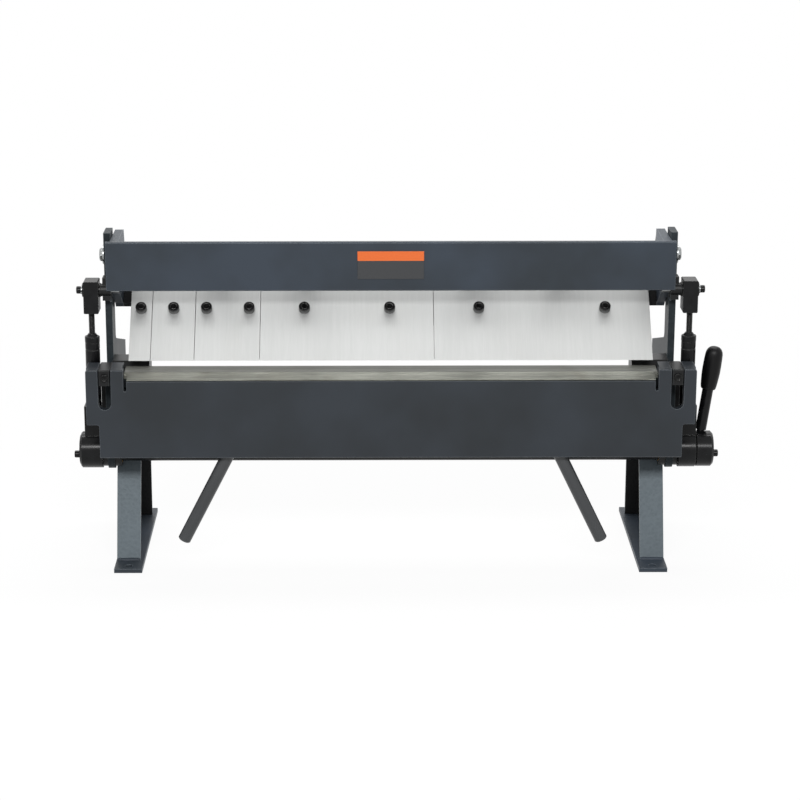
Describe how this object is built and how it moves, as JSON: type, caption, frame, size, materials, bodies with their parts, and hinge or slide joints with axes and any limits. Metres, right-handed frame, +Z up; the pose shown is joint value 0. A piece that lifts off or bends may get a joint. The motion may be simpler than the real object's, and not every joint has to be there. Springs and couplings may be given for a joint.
{
  "type": "box and pan brake",
  "caption": "Bench sheet-metal folding brake: hinged apron with two handles, row of removable clamping fingers on a lever-driven beam, two bolt-down feet.",
  "frame": {"origin": "on the bench, at the middle of the four bolt holes in the feet", "axes": "+X to the operator's right along the bending line, +Y away from the operator, +Z up"},
  "size_m": [0.7628, 0.231, 0.3945],
  "materials": {
    "hammered_grey_paint": "hammered blue-grey enamel",
    "dark_grey_paint": "dark grey enamel, satin",
    "black_paint": "black enamel, satin",
    "ground_steel": "ground and oiled steel",
    "turned_steel": "turned steel",
    "black_oxide": "blackened steel, lightly oiled",
    "black_screws": "black oxide, satin",
    "zinc_plate": "bright zinc plate",
    "bronze": "oiled bronze",
    "black_rubber": "moulded black rubber, matt",
    "printed_plate": "plain orange over black, no print"
  },
  "bodies": {
    "frame": {"left_foot": "dark_grey_paint", "right_foot": "dark_grey_paint", "left_leg": "hammered_grey_paint", "right_leg": "hammered_grey_paint", "left_side_plate": "hammered_grey_paint", "right_side_plate": "hammered_grey_paint", "shaft_bearings": "black_paint", "shaft_bushes": "bronze", "bed_bar": "ground_steel", "bed_blocks": "black_paint", "bed_screws": "black_screws", "left_pivot_block": "black_paint", "right_pivot_block": "black_paint", "pin_lock_screws": "black_screws", "hinge_pins": "turned_steel", "pivot_pads": "black_paint"},
    "apron": {"apron_plate": "dark_grey_paint", "apron_ears": "dark_grey_paint", "apron_nose_bar": "ground_steel", "nose_bar_screws": "black_screws", "left_handle": "dark_grey_paint", "right_handle": "dark_grey_paint", "handle_sockets": "dark_grey_paint"},
    "clamp_shaft": {"cross_shaft": "black_oxide", "shaft_end_screws": "black_screws", "right_cam": "black_oxide", "left_cam": "black_oxide", "lever_hub": "black_oxide", "lever_rod": "black_oxide", "lever_grip": "black_rubber"},
    "right_link": {"right_link_strap": "black_oxide", "right_link_barrel": "black_oxide", "right_link_lock_nut": "black_oxide", "right_link_rod": "black_oxide", "right_link_head": "black_oxide"},
    "left_link": {"left_link_strap": "black_oxide", "left_link_barrel": "black_oxide", "left_link_lock_nut": "black_oxide", "left_link_rod": "black_oxide", "left_link_head": "black_oxide"},
    "beam": {"beam_hood": "dark_grey_paint", "finger_mount_plate": "dark_grey_paint", "left_beam_cheek": "dark_grey_paint", "right_beam_cheek": "dark_grey_paint", "beam_ribs": "dark_grey_paint", "link_brackets": "black_paint", "link_pins": "turned_steel", "link_washers": "black_oxide", "link_lock_washers": "zinc_plate", "link_pin_screws": "black_oxide", "guide_bolts": "zinc_plate", "guide_washers": "zinc_plate", "rear_guides": "black_paint", "label_plate": "printed_plate", "finger_1_inch": "ground_steel", "finger_2_inch": "ground_steel", "finger_3_inch": "ground_steel", "finger_8_inch": "ground_steel", "finger_10_inch": "ground_steel", "finger_screws": "black_screws"}
  },
  "joints": [
    {"name": "apron_bend", "type": "hinge", "parent": "frame", "child": "apron", "pos_m": [0, -0.086, 0.24], "axis": [-1, 0, 0], "range_deg": [0, 95]},
    {"name": "beam_slide", "type": "slide", "parent": "frame", "child": "beam", "axis": [0, 0, -1], "range_m": [0, 0.0095]},
    {"name": "clamp_turn", "type": "hinge", "parent": "frame", "child": "clamp_shaft", "pos_m": [0, -0.0595, 0.1297], "axis": [1, 0, 0], "range_deg": [0, 74.1]},
    {"name": "right_link_swing", "type": "hinge", "parent": "clamp_shaft", "child": "right_link", "pos_m": [0.35, -0.064, 0.13691], "axis": [1, 0, 0], "range_deg": [-75.3, 0]},
    {"name": "left_link_swing", "type": "hinge", "parent": "clamp_shaft", "child": "left_link", "pos_m": [-0.35, -0.064, 0.13691], "axis": [1, 0, 0], "range_deg": [-75.3, 0]}
  ],
  "couplings": [
    {"joint": "clamp_turn", "follows": "beam_slide", "rad_per_m": 135.95},
    {"joint": "right_link_swing", "follows": "beam_slide", "rad_per_m": -137.95},
    {"joint": "left_link_swing", "follows": "beam_slide", "rad_per_m": -137.95}
  ]
}
